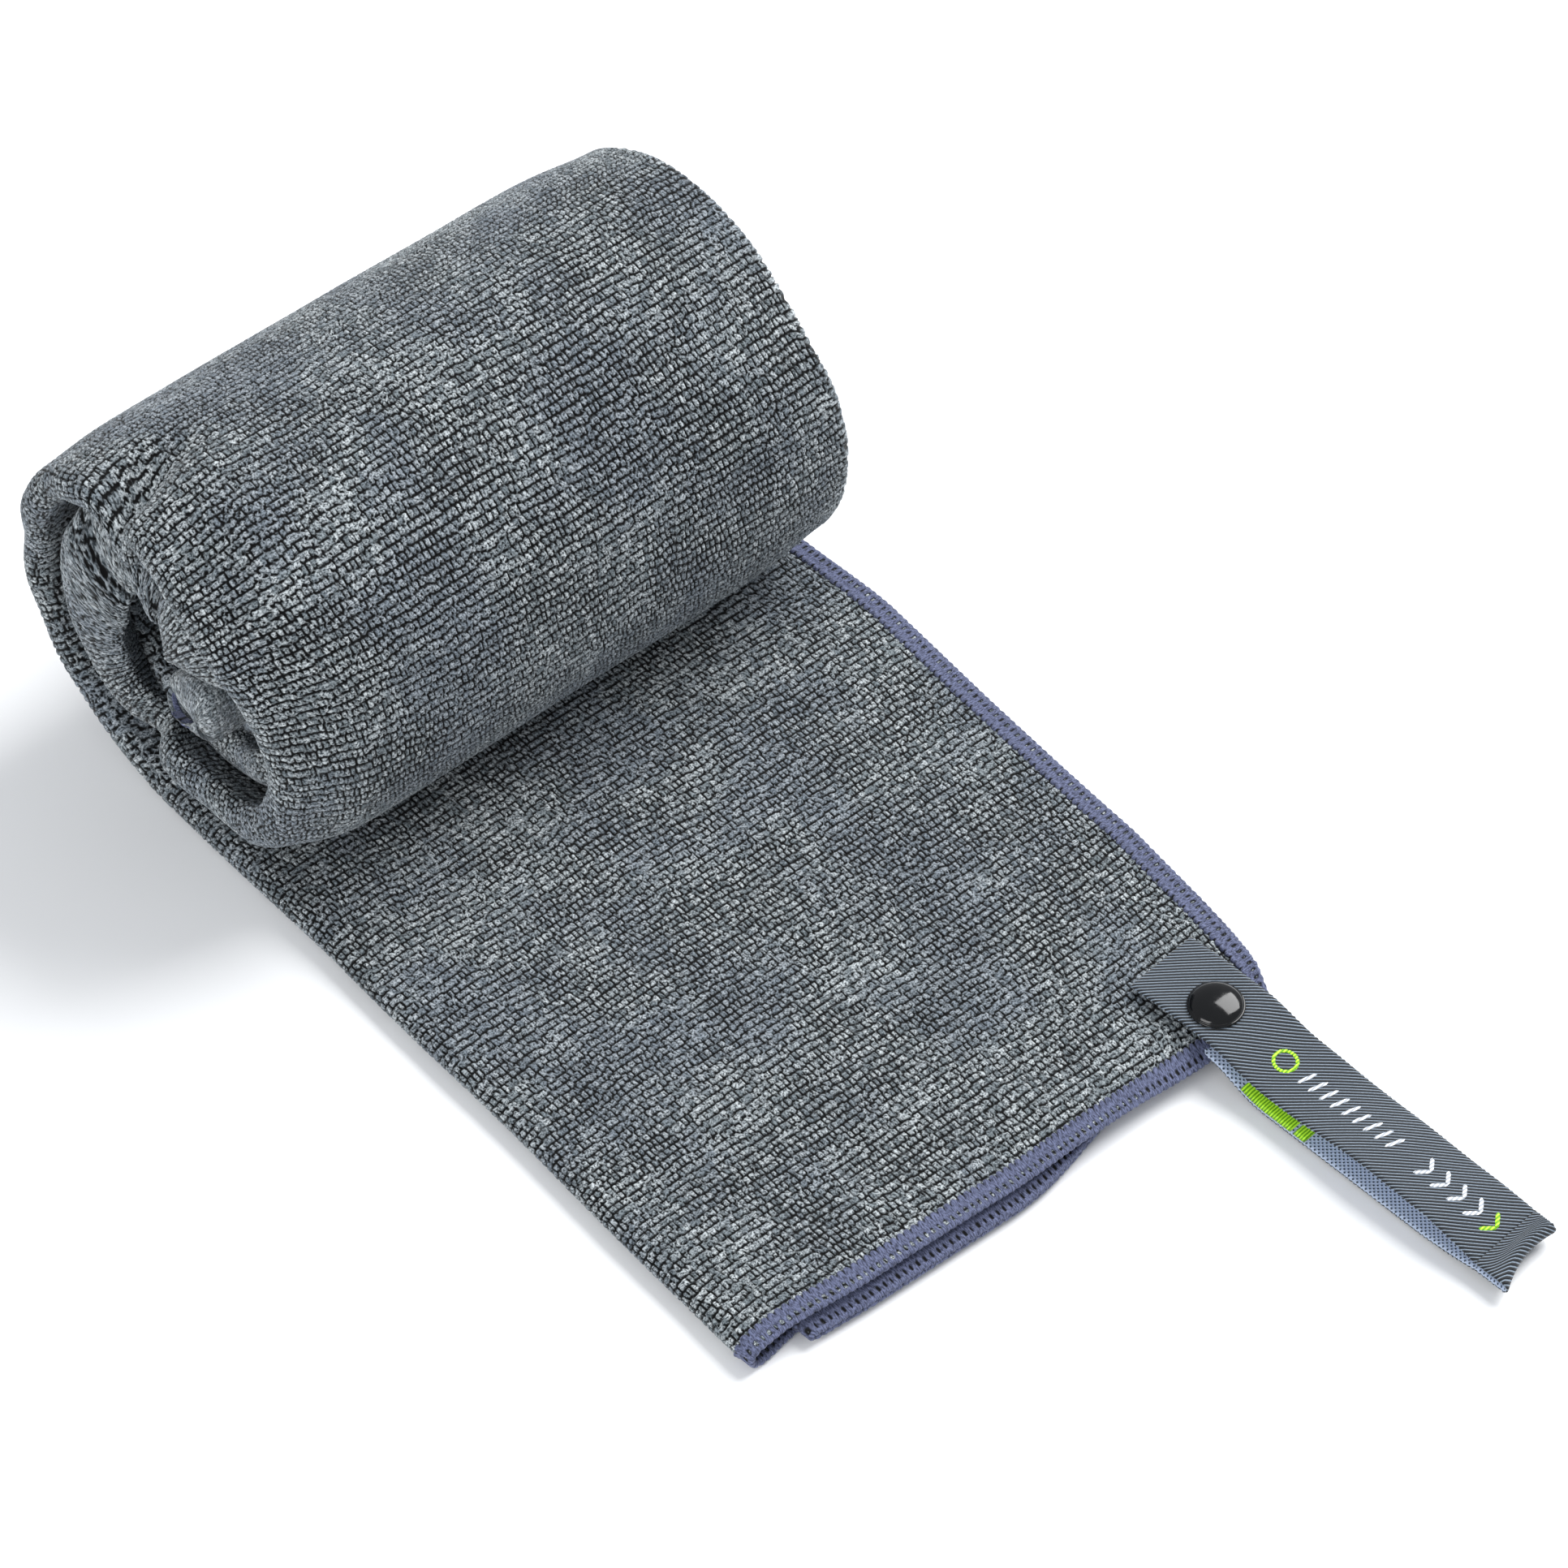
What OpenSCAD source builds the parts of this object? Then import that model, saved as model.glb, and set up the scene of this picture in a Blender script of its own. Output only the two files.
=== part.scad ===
// Quick-dry travel towel, folded lengthwise into four layers and rolled up
// from its far end, with a snap-on hanging loop at its free corner.
// Frame: +X towards the free end, +Y along the roll's axis, +Z up.
// Origin: centre of the bounding box, on the surface that the towel lies on.

/* [Towel cloth] */
// Width of the cloth laid flat, folded into four
towel_w = 610; // [600:1:620]
// Length of the cloth laid flat
towel_l = 1220; // [1214:1:1225]
// Height that one layer takes in the folded pile
layer_pitch = 1.75; // [1.7:0.01:1.8]
// Slit left between two layers of the flat run
layer_slit = 0.1; // [0.05:0.01:0.2]
// Distance that the free end's inner layers reach past the outer ones
inner_offset = 3.5; // [2:0.5:5]
// Distance that the inner fold is set in from the outer fold at the free end
inner_fold_set_in = 14; // [8:1:24]

/* [Roll] */
// Outer radius of the roll at its back
roll_r = 50.5; // [50:0.1:51]
// Distance from the roll's axis to the free end
run_len = 194; // [180:1:210]
// Gap between one turn and the next
turn_gap = 0.1; // [0.05:0.05:0.2]
// Whole turns before the last half turn
turns = 5; // [5:1:5]

/* [Overlocked edges] */
// Width of the overlock stitching
hem_w = 5; // [4:0.5:6]

/* [Hanging loop] */
// Width of the woven ribbon
ribbon_w = 19; // [15:0.5:22]
// Thickness of the woven ribbon
ribbon_t = 0.8; // [0.6:0.1:1]
// Distance that the loop's tip reaches past the free end
loop_reach = 88; // [60:1:110]
// Angle of the loop to the towel's length, seen from above
loop_angle = 5; // [0:0.5:8]
// Height of the axis that the ribbon folds about
fold_z = 3.5; // [3:0.1:4.5]
// Inner radius of the ribbon's fold
fold_r = 0.7; // [0.5:0.1:1]
// Length of ribbon caught under the top layer
sewn_len = 14; // [10:1:20]
// Length of the ribbon's free end behind the snap
tail_len = 17; // [12:1:24]

/* [Snap fastener] */
// Distance from the free end to the snap's centre
snap_in = 4; // [4:0.1:8]
// Distance from the hemmed long edge to the snap's centre
snap_side = 19.5; // [14:0.5:24]
// Distance from the snap's centre to the middle of the ribbon
snap_off = 1.2; // [0:0.1:2]
// Diameter of the domed cap
cap_d = 12.5; // [11:0.5:15]
// Height of the domed cap
cap_h = 2.6; // [2:0.1:3.5]
// Diameter of the socket and the stud plate
socket_d = 10.5; // [9:0.5:11]
// Diameter of the stud's knob
knob_d = 3.6; // [3:0.1:4]

/* [Hidden] */
$fn = 96;

// Cloth
cloth_t = layer_pitch - layer_slit;
stack_t = 4 * layer_pitch;
fold_w = towel_w / 4;
turn_pitch = stack_t + turn_gap;

// Roll: each turn is a back half and a front half about centres half a
// turn's pitch apart, so that the halves meet flush above and below
function back_r(k) = roll_r - k * turn_pitch;
function front_r(k) = roll_r - turn_pitch / 2 - k * turn_pitch;
function mean_r(r) = r - stack_t / 2;
function half_turn(k) = PI * (mean_r(back_r(k)) + mean_r(front_r(k)));
function rolled(k) = k < 0 ? 0 : half_turn(k) + rolled(k - 1);
front_cz = roll_r + turn_pitch / 2;

// The cloth that is left after the turns and the last half turn is the
// inner end, which starts another turn about the front centre
core_len = towel_l - run_len - rolled(turns - 1) - PI * mean_r(back_r(turns));
core_mean_r = mean_r(front_r(turns));
core_end_angle = core_len / core_mean_r * 180 / PI;
far_hem_angle = hem_w / core_mean_r * 180 / PI;

// Loop, in its own frame: x along the ribbon from the snap's centre, y across
tip_x = (loop_reach + snap_in - (ribbon_w / 2 - snap_off) * sin(loop_angle))
    / cos(loop_angle);
fold_x = tip_x - fold_r - ribbon_t;
edge_x = snap_in / cos(loop_angle);
ply_mid = fold_r + ribbon_t / 2;

// Heights of the snap's pieces above the surface
plate_t = 0.6;
stud_z = stack_t;
socket_z = stud_z + plate_t + 0.1;
socket_h = 1.8;
knob_h = 1.5;
ribbon_z = socket_z + socket_h + 0.1;
flange_t = 0.5;
pin_d = 2.4;
cap_pin_d = 2.8;
pin_clearance = 0.05;
knob_clearance = 0.3;
sewn_z = 3 * layer_pitch;

// Middle line of the upper ply, from its free end to the fold
upper_path = [
    [-tail_len, ribbon_z + ribbon_t / 2],
    [edge_x + 3, ribbon_z + ribbon_t / 2],
    [edge_x + 14, 7],
    [edge_x + 45, 7.3],
    [edge_x + 70, 6.4],
    [fold_x - 4, fold_z + ply_mid],
    [fold_x, fold_z + ply_mid]
];
// Middle line of the lower ply, from its sewn end to just short of the fold
fold_room = fold_r + ribbon_t + 0.2;
lower_path = [
    [edge_x - sewn_len, sewn_z + ribbon_t / 2],
    [edge_x + inner_offset + 1, sewn_z + ribbon_t / 2],
    [edge_x + 16, ribbon_t / 2],
    [edge_x + 64, ribbon_t / 2],
    [fold_x - 5, fold_z - ply_mid],
    [fold_x - fold_room, fold_z - ply_mid]
];

// Frame: the bounding box is centred on the origin
axis_x = -(roll_r + run_len + loop_reach) / 2 + roll_r;
end_x = axis_x + run_len;
y0 = -fold_w / 2;
y1 = fold_w / 2;
snap_x = end_x - snap_in;
snap_y = y1 - snap_side;

cloth_color = [0.33, 0.36, 0.38];
hem_color = [0.38, 0.41, 0.50];
ribbon_color = [0.24, 0.28, 0.33];
lime_color = [0.55, 0.80, 0.10];
white_color = [0.92, 0.94, 0.95];
snap_color = [0.05, 0.05, 0.06];

// ---- Helpers -------------------------------------------------------------

// Extrudes an outline drawn as (Y, Z) along X, from xa to xb
module along_x(xa, xb) {
    translate([xa, 0, 0])
        rotate([90, 0, 90])
            linear_extrude(xb - xa)
                children();
}

// Extrudes an outline drawn as (X, Z) along Y, from ya to yb
module along_y(ya, yb) {
    translate([0, yb, 0])
        rotate([90, 0, 0])
            linear_extrude(yb - ya)
                children();
}

// Half of a ring about the origin; side is -1 for the left half, 1 for the right
module half_ring(r_out, r_in, side) {
    intersection() {
        difference() {
            circle(r_out);
            if (r_in > 0) circle(r_in);
        }
        translate([side * r_out, 0])
            square([2 * r_out, 3 * r_out], center = true);
    }
}

// One fold of cloth that joins layer low to layer high; two layers that lie
// on each other fold flat, with no room inside
module fold_back(low, high, side) {
    mid = (low + high + 1) * layer_pitch / 2 - layer_slit / 2;
    outer = mid - low * layer_pitch;
    inner = high - low > 1 ? outer - cloth_t : 0;
    translate([0, mid])
        half_ring(outer, inner, side);
}

// Outline of one layer, numbered 0 to 3 from the bottom, between ya and yb
module layer(n, ya, yb) {
    translate([ya, n * layer_pitch])
        square([yb - ya, cloth_t]);
}

// Outer ply of the folded cloth: the top and bottom layers and their fold
module outer_ply(top_end, bottom_end) {
    bend = 2 * layer_pitch;
    translate([y0 + bend, 0])
        fold_back(0, 3, -1);
    layer(0, y0 + bend, bottom_end);
    layer(3, y0 + bend, top_end);
}

// Inner ply: the two middle layers and their fold, set in from the left
module inner_ply(set_in, top_end, bottom_end) {
    bend = set_in + layer_pitch;
    translate([y0 + bend, 0])
        fold_back(1, 2, -1);
    layer(1, y0 + bend, bottom_end);
    layer(2, y0 + bend, top_end);
}

// The fold on the right that joins the two bottom layers
module right_fold() {
    translate([y1 - layer_pitch, 0])
        fold_back(0, 1, 1);
}

// One turn of the stack, from r to r - depth, about the roll's axis
module turn_outline(k, from, depth) {
    translate([axis_x, roll_r])
        half_ring(back_r(k) - from, back_r(k) - from - depth, -1);
    translate([axis_x, front_cz])
        half_ring(front_r(k) - from, front_r(k) - from - depth, 1);
}

// A turn of cloth: all four layers, with the right fold's two layers full width
module roll_turn(k) {
    color(cloth_color) {
        along_y(y0, y1 - hem_w) turn_outline(k, 0, stack_t);
        along_y(y1 - hem_w, y1) turn_outline(k, 0, stack_t / 2);
    }
}

// Last half turn at the back
module core_half(from, depth) {
    translate([axis_x, roll_r])
        half_ring(back_r(turns) - from, back_r(turns) - from - depth, -1);
}

// Part of the inner end's arc, between two angles turned clockwise from the top
module core_arc(from, depth, start, end) {
    r = front_r(turns) - from;
    steps = 6;
    wedge = [for (i = [0 : steps])
        let (a = start + (end - start) * i / steps)
        [2 * r * sin(a), 2 * r * cos(a)]];
    translate([axis_x, front_cz])
        intersection() {
            difference() {
                circle(r);
                circle(r - depth);
            }
            polygon(concat([[0, 0]], wedge));
        }
}

// Moves a part from the loop's own frame to its place at the towel's corner
module place_loop() {
    translate([snap_x, snap_y, 0])
        rotate([0, 0, loop_angle])
            children();
}

// Outline of a strip of thickness t along a path of (X, Z) points
function strip_normal(p, i) =
    let (a = p[max(i - 1, 0)],
         b = p[min(i + 1, len(p) - 1)],
         d = b - a)
    [-d[1], d[0]] / norm(d);
function strip(p, t) = concat(
    [for (i = [0 : len(p) - 1]) p[i] + strip_normal(p, i) * t / 2],
    [for (i = [len(p) - 1 : -1 : 0]) p[i] - strip_normal(p, i) * t / 2]);

// A ribbon along a path, with the ribbon's whole width
module ribbon(path) {
    along_y(snap_off - ribbon_w / 2, snap_off + ribbon_w / 2)
        polygon(strip(path, ribbon_t));
}

// A round hole or pin on the snap's axis
module snap_bore(d, z_low, z_high) {
    translate([0, 0, z_low])
        cylinder(d = d, h = z_high - z_low);
}

// Room for what passes through the towel's top layers at the snap
module snap_room() {
    translate([snap_x, snap_y, 0]) {
        snap_bore(pin_d + 2 * pin_clearance, sewn_z - 1, stack_t + 1);
        snap_bore(socket_d + 0.4, sewn_z - flange_t - 0.1, sewn_z - layer_slit / 2);
    }
}

// Slot for the ribbon's sewn end, under the top layer
module sewn_room() {
    slot = 0.1;
    place_loop()
        translate([edge_x - sewn_len - slot, snap_off - ribbon_w / 2 - slot,
            sewn_z - layer_slit / 2])
            cube([sewn_len + 2 * hem_w, ribbon_w + 2 * slot, ribbon_t + slot]);
}

// Slot for the bar tack, under the ribbon's sewn end
tack_x = edge_x - sewn_len + 2;
tack_w = 1.2;
tack_t = 0.3;
module tack_room() {
    place_loop()
        translate([tack_x - 0.1, snap_off - ribbon_w / 2 + 1, sewn_z - tack_t - 0.1])
            cube([tack_w + 0.2, ribbon_w - 2, tack_t + 0.2]);
}

// ---- Towel cloth -----------------------------------------------------------

module flat_run() {
    color(cloth_color)
        difference() {
            union() {
                along_x(axis_x, end_x - hem_w) {
                    outer_ply(y1 - hem_w, y1 - layer_pitch);
                    right_fold();
                }
                along_x(axis_x, end_x - hem_w + inner_offset)
                    inner_ply(inner_fold_set_in, y1 - hem_w, y1 - layer_pitch);
            }
            snap_room();
            sewn_room();
            tack_room();
        }
}

module roll_core() {
    color(cloth_color) {
        along_y(y0, y1 - hem_w) {
            core_half(0, stack_t);
            core_arc(0, stack_t, 0, core_end_angle - far_hem_angle);
        }
        along_y(y1 - hem_w, y1) {
            core_half(0, stack_t / 2);
            core_arc(0, stack_t / 2, 0, core_end_angle - far_hem_angle);
        }
    }
}

// ---- Overlocked edges ------------------------------------------------------

module front_hem_outer() {
    color(hem_color)
        difference() {
            along_x(end_x - hem_w, end_x) {
                outer_ply(y1, y1 - layer_pitch);
                right_fold();
            }
            along_x(end_x - hem_w - 1, end_x + 1)
                translate([y1 - layer_pitch - 0.1, layer_pitch - layer_slit])
                    square([2 * layer_pitch, layer_pitch]);
            snap_room();
            sewn_room();
        }
}

module front_hem_inner() {
    color(hem_color)
        difference() {
            along_x(end_x - hem_w + inner_offset, end_x + inner_offset)
                inner_ply(inner_fold_set_in, y1, y1 - layer_pitch);
            snap_room();
            tack_room();
        }
}

// The hem along one of the two upper layers' long edges
module side_hem(n, x_end) {
    color(hem_color)
        along_x(axis_x, x_end)
            layer(n, y1 - hem_w, y1);
}

module side_hem_upper() {
    side_hem(3, end_x - hem_w);
}

module side_hem_lower() {
    side_hem(2, end_x - hem_w + inner_offset);
}

// The same two hems, wound up with the turns
module roll_side_hem() {
    color(hem_color)
        along_y(y1 - hem_w, y1) {
            for (k = [0 : turns - 1])
                turn_outline(k, stack_t / 2, stack_t / 2);
            core_half(stack_t / 2, stack_t / 2);
            core_arc(stack_t / 2, stack_t / 2, 0, core_end_angle - far_hem_angle);
        }
}

module far_end_hem() {
    color(hem_color)
        along_y(y0, y1)
            core_arc(0, stack_t, core_end_angle - far_hem_angle, core_end_angle);
}

// ---- Hanging loop ------------------------------------------------------------

module loop_lower_ply() {
    color(ribbon_color)
        place_loop()
            difference() {
                ribbon(lower_path);
                snap_bore(pin_d + 2 * pin_clearance, sewn_z - 1, sewn_z + 2);
            }
}

module loop_upper_ply() {
    color(ribbon_color)
        place_loop()
            difference() {
                ribbon(upper_path);
                snap_bore(cap_pin_d + 2 * pin_clearance, ribbon_z - 1, ribbon_z + 2);
            }
}

module loop_fold() {
    color(ribbon_color)
        place_loop()
            along_y(snap_off - ribbon_w / 2, snap_off + ribbon_w / 2)
                translate([fold_x, fold_z])
                    half_ring(fold_r + ribbon_t, fold_r, 1);
}

module loop_bar_tack() {
    color(hem_color)
        place_loop()
            translate([tack_x, snap_off - ribbon_w / 2 + 1.5, sewn_z - tack_t])
                cube([tack_w, ribbon_w - 3, tack_t]);
}

// Raised woven figures are a little prouder than the ribbon
weave_t = 0.15;
module woven_bars() {
    bars = [[edge_x + 17, 11], [edge_x + 29, 3.5]];
    color(lime_color)
        place_loop()
            for (bar = bars)
                translate([bar[0], snap_off - ribbon_w / 2 + 1, ribbon_t])
                    cube([bar[1], ribbon_w - 2, weave_t]);
}

// A plain geometric mark: a ring, then a row of short slanted bars
mark_slope = atan((upper_path[3][1] - upper_path[2][1])
    / (upper_path[3][0] - upper_path[2][0]));
module woven_mark() {
    mark_y = snap_off - 0.5;
    bar_count = 7;
    bar_pitch = 2.6;
    bar_w = 1.2;
    bar_l = 4.4;
    start = upper_path[2];
    place_loop()
        translate([start[0], mark_y, start[1] + ribbon_t / 2])
            rotate([0, -mark_slope, 0]) {
                color(lime_color)
                    translate([3, 0, 0])
                        difference() {
                            cylinder(d = 5.6, h = weave_t);
                            translate([0, 0, -1])
                                cylinder(d = 3.2, h = weave_t + 2);
                        }
                color(white_color)
                    for (i = [0 : bar_count - 1])
                        translate([8.5 + i * bar_pitch, 0, weave_t / 2])
                            cube([bar_w, bar_l, weave_t], center = true);
            }
}

// ---- Snap fastener -------------------------------------------------------------

module snap_cap() {
    dome_r = (pow(cap_d / 2, 2) + pow(cap_h - 0.8, 2)) / (2 * (cap_h - 0.8));
    rim_h = 0.8;
    top_z = ribbon_z + ribbon_t;
    color(snap_color)
        translate([snap_x, snap_y, 0]) {
            snap_bore(cap_d, top_z, top_z + rim_h);
            intersection() {
                translate([0, 0, top_z + cap_h - dome_r])
                    sphere(r = dome_r);
                snap_bore(cap_d, top_z + rim_h, top_z + cap_h + 1);
            }
            snap_bore(cap_pin_d, ribbon_z - 0.3, top_z);
        }
}

module snap_socket() {
    roof = 0.35;
    color(snap_color)
        translate([snap_x, snap_y, 0])
            difference() {
                snap_bore(socket_d, socket_z, socket_z + socket_h);
                snap_bore(knob_d + 2 * knob_clearance, socket_z - 1,
                    socket_z + socket_h - roof);
                snap_bore(cap_pin_d + 2 * pin_clearance, socket_z, socket_z + socket_h + 1);
            }
}

module snap_stud() {
    color(snap_color)
        translate([snap_x, snap_y, 0])
            difference() {
                union() {
                    snap_bore(socket_d, stud_z, stud_z + plate_t);
                    snap_bore(knob_d, stud_z, stud_z + plate_t + knob_h - 0.2);
                }
                snap_bore(pin_d + 2 * pin_clearance, stud_z - 1, stud_z + plate_t + 0.5);
            }
}

module snap_post() {
    color(snap_color)
        translate([snap_x, snap_y, 0]) {
            snap_bore(socket_d, sewn_z - flange_t, sewn_z);
            snap_bore(pin_d, sewn_z - flange_t, stud_z + plate_t + 0.4);
        }
}

flat_run();
roll_turn(0);  // roll_turn_1
roll_turn(1);  // roll_turn_2
roll_turn(2);  // roll_turn_3
roll_turn(3);  // roll_turn_4
roll_turn(4);  // roll_turn_5
roll_core();
front_hem_outer();
front_hem_inner();
side_hem_upper();
side_hem_lower();
roll_side_hem();
far_end_hem();
loop_lower_ply();
loop_upper_ply();
loop_fold();
loop_bar_tack();
woven_bars();
woven_mark();
snap_cap();
snap_socket();
snap_stud();
snap_post();
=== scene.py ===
"""A microfibre travel towel, folded into four layers and rolled, with a snap-on hanging loop."""
import math

import bpy
import numpy as np
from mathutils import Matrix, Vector


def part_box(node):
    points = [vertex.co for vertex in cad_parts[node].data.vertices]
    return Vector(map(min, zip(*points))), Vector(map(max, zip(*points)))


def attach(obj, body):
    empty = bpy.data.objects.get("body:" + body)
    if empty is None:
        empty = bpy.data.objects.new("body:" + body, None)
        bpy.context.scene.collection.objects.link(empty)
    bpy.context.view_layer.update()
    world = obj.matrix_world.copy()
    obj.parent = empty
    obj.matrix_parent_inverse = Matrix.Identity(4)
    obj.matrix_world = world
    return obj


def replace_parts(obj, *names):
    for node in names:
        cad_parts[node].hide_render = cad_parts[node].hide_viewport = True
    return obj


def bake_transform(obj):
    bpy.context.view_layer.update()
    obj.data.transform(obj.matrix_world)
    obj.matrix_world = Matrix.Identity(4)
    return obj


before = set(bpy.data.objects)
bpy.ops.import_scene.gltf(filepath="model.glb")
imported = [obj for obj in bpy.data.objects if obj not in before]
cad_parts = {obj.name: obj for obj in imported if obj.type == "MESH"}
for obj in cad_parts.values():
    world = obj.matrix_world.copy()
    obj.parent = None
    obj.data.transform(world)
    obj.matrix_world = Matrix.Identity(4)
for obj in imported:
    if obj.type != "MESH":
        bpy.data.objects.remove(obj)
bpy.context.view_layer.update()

MM = 0.001

# ---- Sizes, in millimetres, worked out from the frame -----------------------


def node_box(name):
    """A node's lowest and highest corner in millimetres."""
    low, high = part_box(name)
    return np.array(low) / MM, np.array(high) / MM


turn_low, turn_high = node_box("roll_turn_1")
second_high = node_box("roll_turn_2")[1]
hem_high = node_box("front_hem_outer")[1]
side_low, side_high = node_box("side_hem_upper")
inner_high = node_box("front_hem_inner")[1]
cap_low, cap_high = node_box("snap_cap")
tip_low, tip_high = node_box("loop_fold")

ROLL_R = turn_high[2] / 2
TURN_PITCH = turn_high[2] - second_high[2]
AXIS_X = turn_low[0] + ROLL_R
END_X = hem_high[0]
RUN = END_X - AXIS_X  # length of the flat run up to the roll's lowest line
LEFT_Y, RIGHT_Y = turn_low[1], turn_high[1]
FOLD_W = RIGHT_Y - LEFT_Y
AIR = 0.1  # between two turns, and between two layers
STACK = TURN_PITCH - AIR
LAYER = STACK / 4
HEM_W = side_high[1] - side_low[1]
HALF_TURNS = 11  # whole ones; the cloth ends within the one after them

# ---- Numbers that vary smoothly or at random, always the same way -----------


def hashed(i, j, seed):
    """A number from 0 to 1 for each pair of whole numbers."""
    n = (i.astype(np.int64) * 374761393 + j.astype(np.int64) * 668265263 + seed * 974711) & 0xFFFFFFFF
    n = ((n ^ (n >> 13)) * 1274126177) & 0xFFFFFFFF
    n = ((n ^ (n >> 15)) * 2246822519) & 0xFFFFFFFF
    return ((n ^ (n >> 16)) & 0xFFFFFF) / float(0x1000000)


def noise(x, y, seed):
    """Smooth noise from -1 to 1 with a wavelength of about 2."""
    x, y = np.broadcast_arrays(np.asarray(x, float), np.asarray(y, float))
    i, j = np.floor(x), np.floor(y)
    a, b = x - i, y - j
    a, b = a * a * (3 - 2 * a), b * b * (3 - 2 * b)
    low = hashed(i, j, seed) * (1 - a) + hashed(i + 1, j, seed) * a
    high = hashed(i, j + 1, seed) * (1 - a) + hashed(i + 1, j + 1, seed) * a
    return 2 * (low * (1 - b) + high * b) - 1


def ramp(x, start, end):
    """0 before start, 1 after end and smooth between; the two may be in either order."""
    t = np.clip((x - start) / (end - start), 0, 1)
    return t * t * (3 - 2 * t)


def bell(x, wide):
    """1 at 0, falling off smoothly on both sides."""
    return np.exp(-((x / wide) ** 2))


# ---- Terry pile ---------------------------------------------------------------

ROW = 2.0  # from one row of loops to the next
LOOP = 1.28  # from one loop to the next in a row
PILE = 0.75  # height of the loops
PILE_MEAN = 0.62  # the share of that height at which the cloth's face lies
SEED = 7
FAR = 9.0  # farther than any loop


def terry(along, across, seed):
    """Height (0 to 1) and tone (0 to 1) of the looped pile.

    The loops stand in rows across the towel, ROW apart, and LOOP apart in a row.
    In patches they part more or less from their neighbours.
    """
    u = along + 1.2 * noise(along / 37, across / 29, seed) + 0.55 * noise(along / 6, across / 3.5, seed + 1)
    v = across + 1.0 * noise(along / 19, across / 33, seed + 2) + 0.3 * noise(along / 5, across / 6, seed + 3)
    a = u / ROW
    row = np.floor(a)
    near, second = np.full(a.shape, FAR), np.full(a.shape, FAR)
    near_row, second_row = row, row
    tone = np.zeros(a.shape)
    for di in (-1, 0, 1):
        this_row = row + di
        shift = 0.5 * np.mod(this_row, 2) + 0.4 * hashed(this_row, this_row * 0, seed + 4)
        b = v / LOOP - shift
        place = np.floor(b)
        for dj in (-1, 0, 1):
            cell = place + dj
            lean = 0.5 + 0.26 * (hashed(this_row, cell, seed + 5) - 0.5)
            slip = 0.5 + 0.55 * (hashed(this_row, cell, seed + 6) - 0.5)
            d = np.hypot((a - this_row - lean) * 1.3, (b - cell - slip) * 0.85)
            closer = d < near
            follows = ~closer & (d < second)
            second_row = np.where(closer, near_row, np.where(follows, this_row, second_row))
            second = np.where(closer, near, np.minimum(second, d))
            tone = np.where(closer, hashed(this_row, cell, seed + 7), tone)
            near_row = np.where(closer, this_row, near_row)
            near = np.where(closer, d, near)
    patch = noise(along / 9, across / 12, seed + 8)
    in_row = 0.36 + 0.14 * patch
    between = 0.78 + 0.16 * noise(along / 10, across / 9, seed + 9)
    edge = np.clip((second - near) / np.where(second_row == near_row, in_row, between), 0, 1)
    return 1 - (1 - edge) ** 2, tone


# ---- Meshes --------------------------------------------------------------------


def finish_mesh(obj, body="towel"):
    """Lets the piece ride on a body, unless it is given none."""
    if body:
        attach(obj, body)
    return obj


def mixed_object(name, points, quads, triangles, material):
    """A mesh object of smooth quads and flat triangles, points in millimetres."""
    mesh = bpy.data.meshes.new(name)
    points = np.asarray(points, float) * MM
    mesh.vertices.add(len(points))
    mesh.vertices.foreach_set("co", points.ravel())
    corners = np.concatenate([quads.ravel(), triangles.ravel()])
    starts = np.concatenate([np.arange(len(quads)) * 4, len(quads) * 4 + np.arange(len(triangles)) * 3])
    totals = np.concatenate([np.full(len(quads), 4), np.full(len(triangles), 3)])
    mesh.loops.add(len(corners))
    mesh.loops.foreach_set("vertex_index", corners)
    mesh.polygons.add(len(totals))
    mesh.polygons.foreach_set("loop_start", starts)
    mesh.polygons.foreach_set("loop_total", totals)
    mesh.polygons.foreach_set("use_smooth", totals == 4)
    mesh.update(calc_edges=True)
    mesh.materials.append(material)
    obj = bpy.data.objects.new(name, mesh)
    bpy.context.scene.collection.objects.link(obj)
    return obj


def ring_faces(rows, columns):
    """Quads between rows of points, each row a closed ring."""
    i, j = np.arange(rows - 1)[:, None], np.arange(columns)[None, :]
    j1 = (j + 1) % columns
    corners = [i * columns + j, i * columns + j1, (i + 1) * columns + j1, (i + 1) * columns + j]
    return np.stack(corners, -1).reshape(-1, 4)


def flat_cap(count):
    """Triangles that close a flat ring of points, whose second half runs back under its first."""
    i = np.arange(count // 2 - 1)
    return np.concatenate([np.stack([i, i + 1, count - 1 - i], -1),
                           np.stack([i + 1, count - 2 - i, count - 1 - i], -1)])


def closed_tube(name, points, cap, material, inside_out=False):
    """A closed mesh round rows of points: each row is a ring, and cap closes the first and the last."""
    rows, columns = points.shape[:2]
    faces = ring_faces(rows, columns)
    caps = np.concatenate([cap[:, ::-1], cap + (rows - 1) * columns])
    if inside_out:
        faces, caps = faces[:, ::-1], caps[:, ::-1]
    return mixed_object(name, points.reshape(-1, 3), faces, caps, material)


def set_values(obj, name, values):
    """A number on every point, for the material to read."""
    attribute = obj.data.attributes.new(name, "FLOAT", "POINT")
    attribute.data.foreach_set("value", np.asarray(values, np.float32).ravel())


def set_uv(obj, u, v):
    """A UV map in millimetres, from one pair of numbers on every point."""
    loops = np.empty(len(obj.data.loops), np.int32)
    obj.data.loops.foreach_get("vertex_index", loops)
    layer = obj.data.uv_layers.new(name="UVMap")
    layer.data.foreach_set("uv", np.stack([u.ravel()[loops], v.ravel()[loops]], -1).ravel())


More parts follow.
